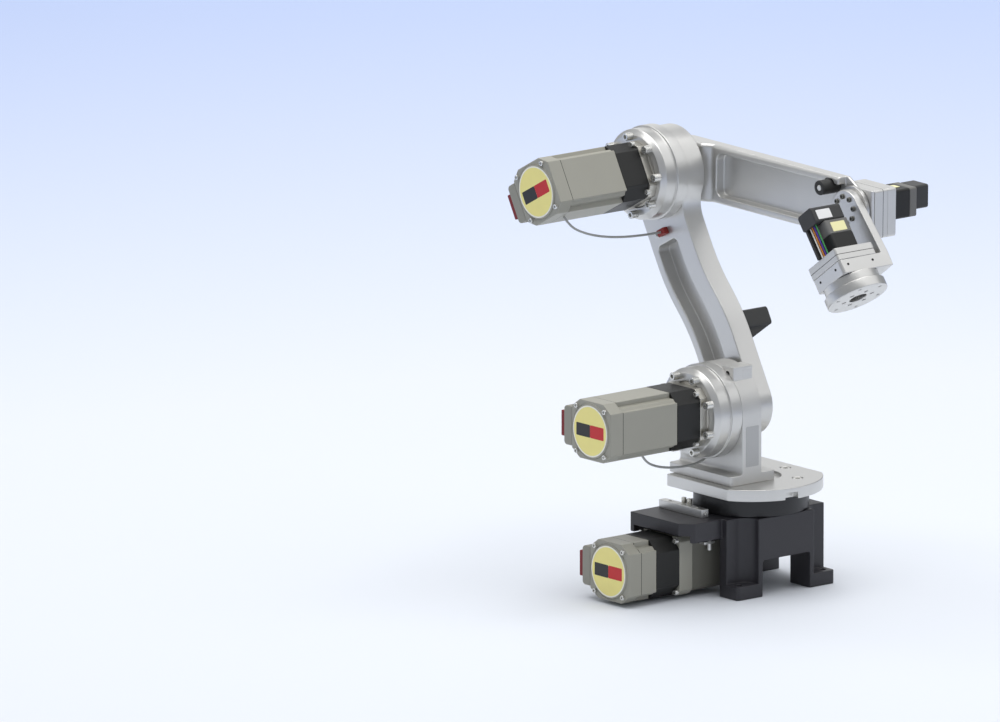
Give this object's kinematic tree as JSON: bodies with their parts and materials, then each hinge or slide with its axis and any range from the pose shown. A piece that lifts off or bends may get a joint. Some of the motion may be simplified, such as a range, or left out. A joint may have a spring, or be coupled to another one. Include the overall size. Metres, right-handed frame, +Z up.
{
  "type": "industrial robot arm",
  "caption": "Small jointed industrial robot arm on a black cast base: turntable, leaning lower arm, level forearm, wrist and tool flange, each joint driven by a square motor.",
  "frame": {"origin": "midway between the four foot bolts, at the level of the feet", "axes": "+X forward, the way the forearm reaches; +Z up; the large motors stick out along -Y"},
  "size_m": [0.3815, 0.3205, 0.4482],
  "materials": {
    "casting_black": "satin",
    "ring_black": "satin",
    "bare_aluminium": "satin",
    "motor_grey": "satin",
    "stator_black": "matt",
    "gear_steel": "satin",
    "pin_steel": "polished",
    "socket_plastic": "matt",
    "black_plastic": "matt",
    "clip_red": "matt",
    "rubber_black": "matt",
    "lead_grey": "matt",
    "wire_insulation": "gloss"
  },
  "bodies": {
    "base": {"base_casting": "casting_black", "base_stop_bar": "bare_aluminium", "base_stop_pins": "pin_steel", "base_gear_case": "motor_grey", "base_motor_stator": "stator_black", "base_motor_housing": "motor_grey", "base_motor_connector": "socket_plastic"},
    "turret": {"turntable_ring": "ring_black", "turntable_plate": "bare_aluminium", "shoulder_pedestal": "bare_aluminium", "shoulder_stop": "bare_aluminium", "shoulder_drive_ring": "bare_aluminium", "shoulder_gear_case": "gear_steel", "shoulder_motor_stator": "stator_black", "shoulder_motor_housing": "motor_grey", "shoulder_motor_connector": "socket_plastic", "shoulder_lead": "lead_grey"},
    "lower_arm": {"lower_arm_link": "bare_aluminium", "lower_arm_bumper": "rubber_black", "elbow_lead_clip": "clip_red", "elbow_drive_ring": "bare_aluminium", "elbow_gear_case": "gear_steel", "elbow_motor_stator": "stator_black", "elbow_motor_housing": "motor_grey", "elbow_motor_connector": "socket_plastic", "elbow_lead": "lead_grey"},
    "forearm": {"forearm_channel": "bare_aluminium", "wrist_stop_knob": "rubber_black", "pitch_case": "bare_aluminium", "pitch_plate": "bare_aluminium", "pitch_motor_stator": "stator_black", "pitch_motor_band": "gear_steel", "pitch_motor_cap": "black_plastic"},
    "wrist": {"pitch_table": "bare_aluminium", "wrist_bracket": "bare_aluminium", "tool_case": "bare_aluminium", "tool_motor_stator": "stator_black", "tool_motor_band": "gear_steel", "tool_motor_cap": "black_plastic", "tool_wire_cover": "black_plastic", "tool_motor_wires": "wire_insulation"},
    "tool": {"tool_table": "bare_aluminium", "tool_flange": "bare_aluminium"}
  },
  "joints": [
    {"name": "base_turn", "type": "hinge", "parent": "base", "child": "turret", "pos_m": [0.00375, 0, 0.08], "axis": [0, 0, 1], "range_deg": [-150, 150]},
    {"name": "shoulder_swing", "type": "hinge", "parent": "turret", "child": "lower_arm", "pos_m": [-0.01325, 0, 0.1805], "axis": [0, 1, 0], "range_deg": [-30, 80]},
    {"name": "elbow_swing", "type": "hinge", "parent": "lower_arm", "child": "forearm", "pos_m": [-0.13254, 0, 0.4002], "axis": [0, -1, 0], "range_deg": [-15, 110]},
    {"name": "wrist_pitch", "type": "hinge", "parent": "forearm", "child": "wrist", "pos_m": [0.11744, 0, 0.39671], "axis": [0, -1, 0], "range_deg": [-70, 90]},
    {"name": "tool_roll", "type": "hinge", "parent": "wrist", "child": "tool", "pos_m": [0.17292, -0.006, 0.32034], "axis": [0.5878, 0, -0.809], "range_deg": [-180, 180]}
  ]
}
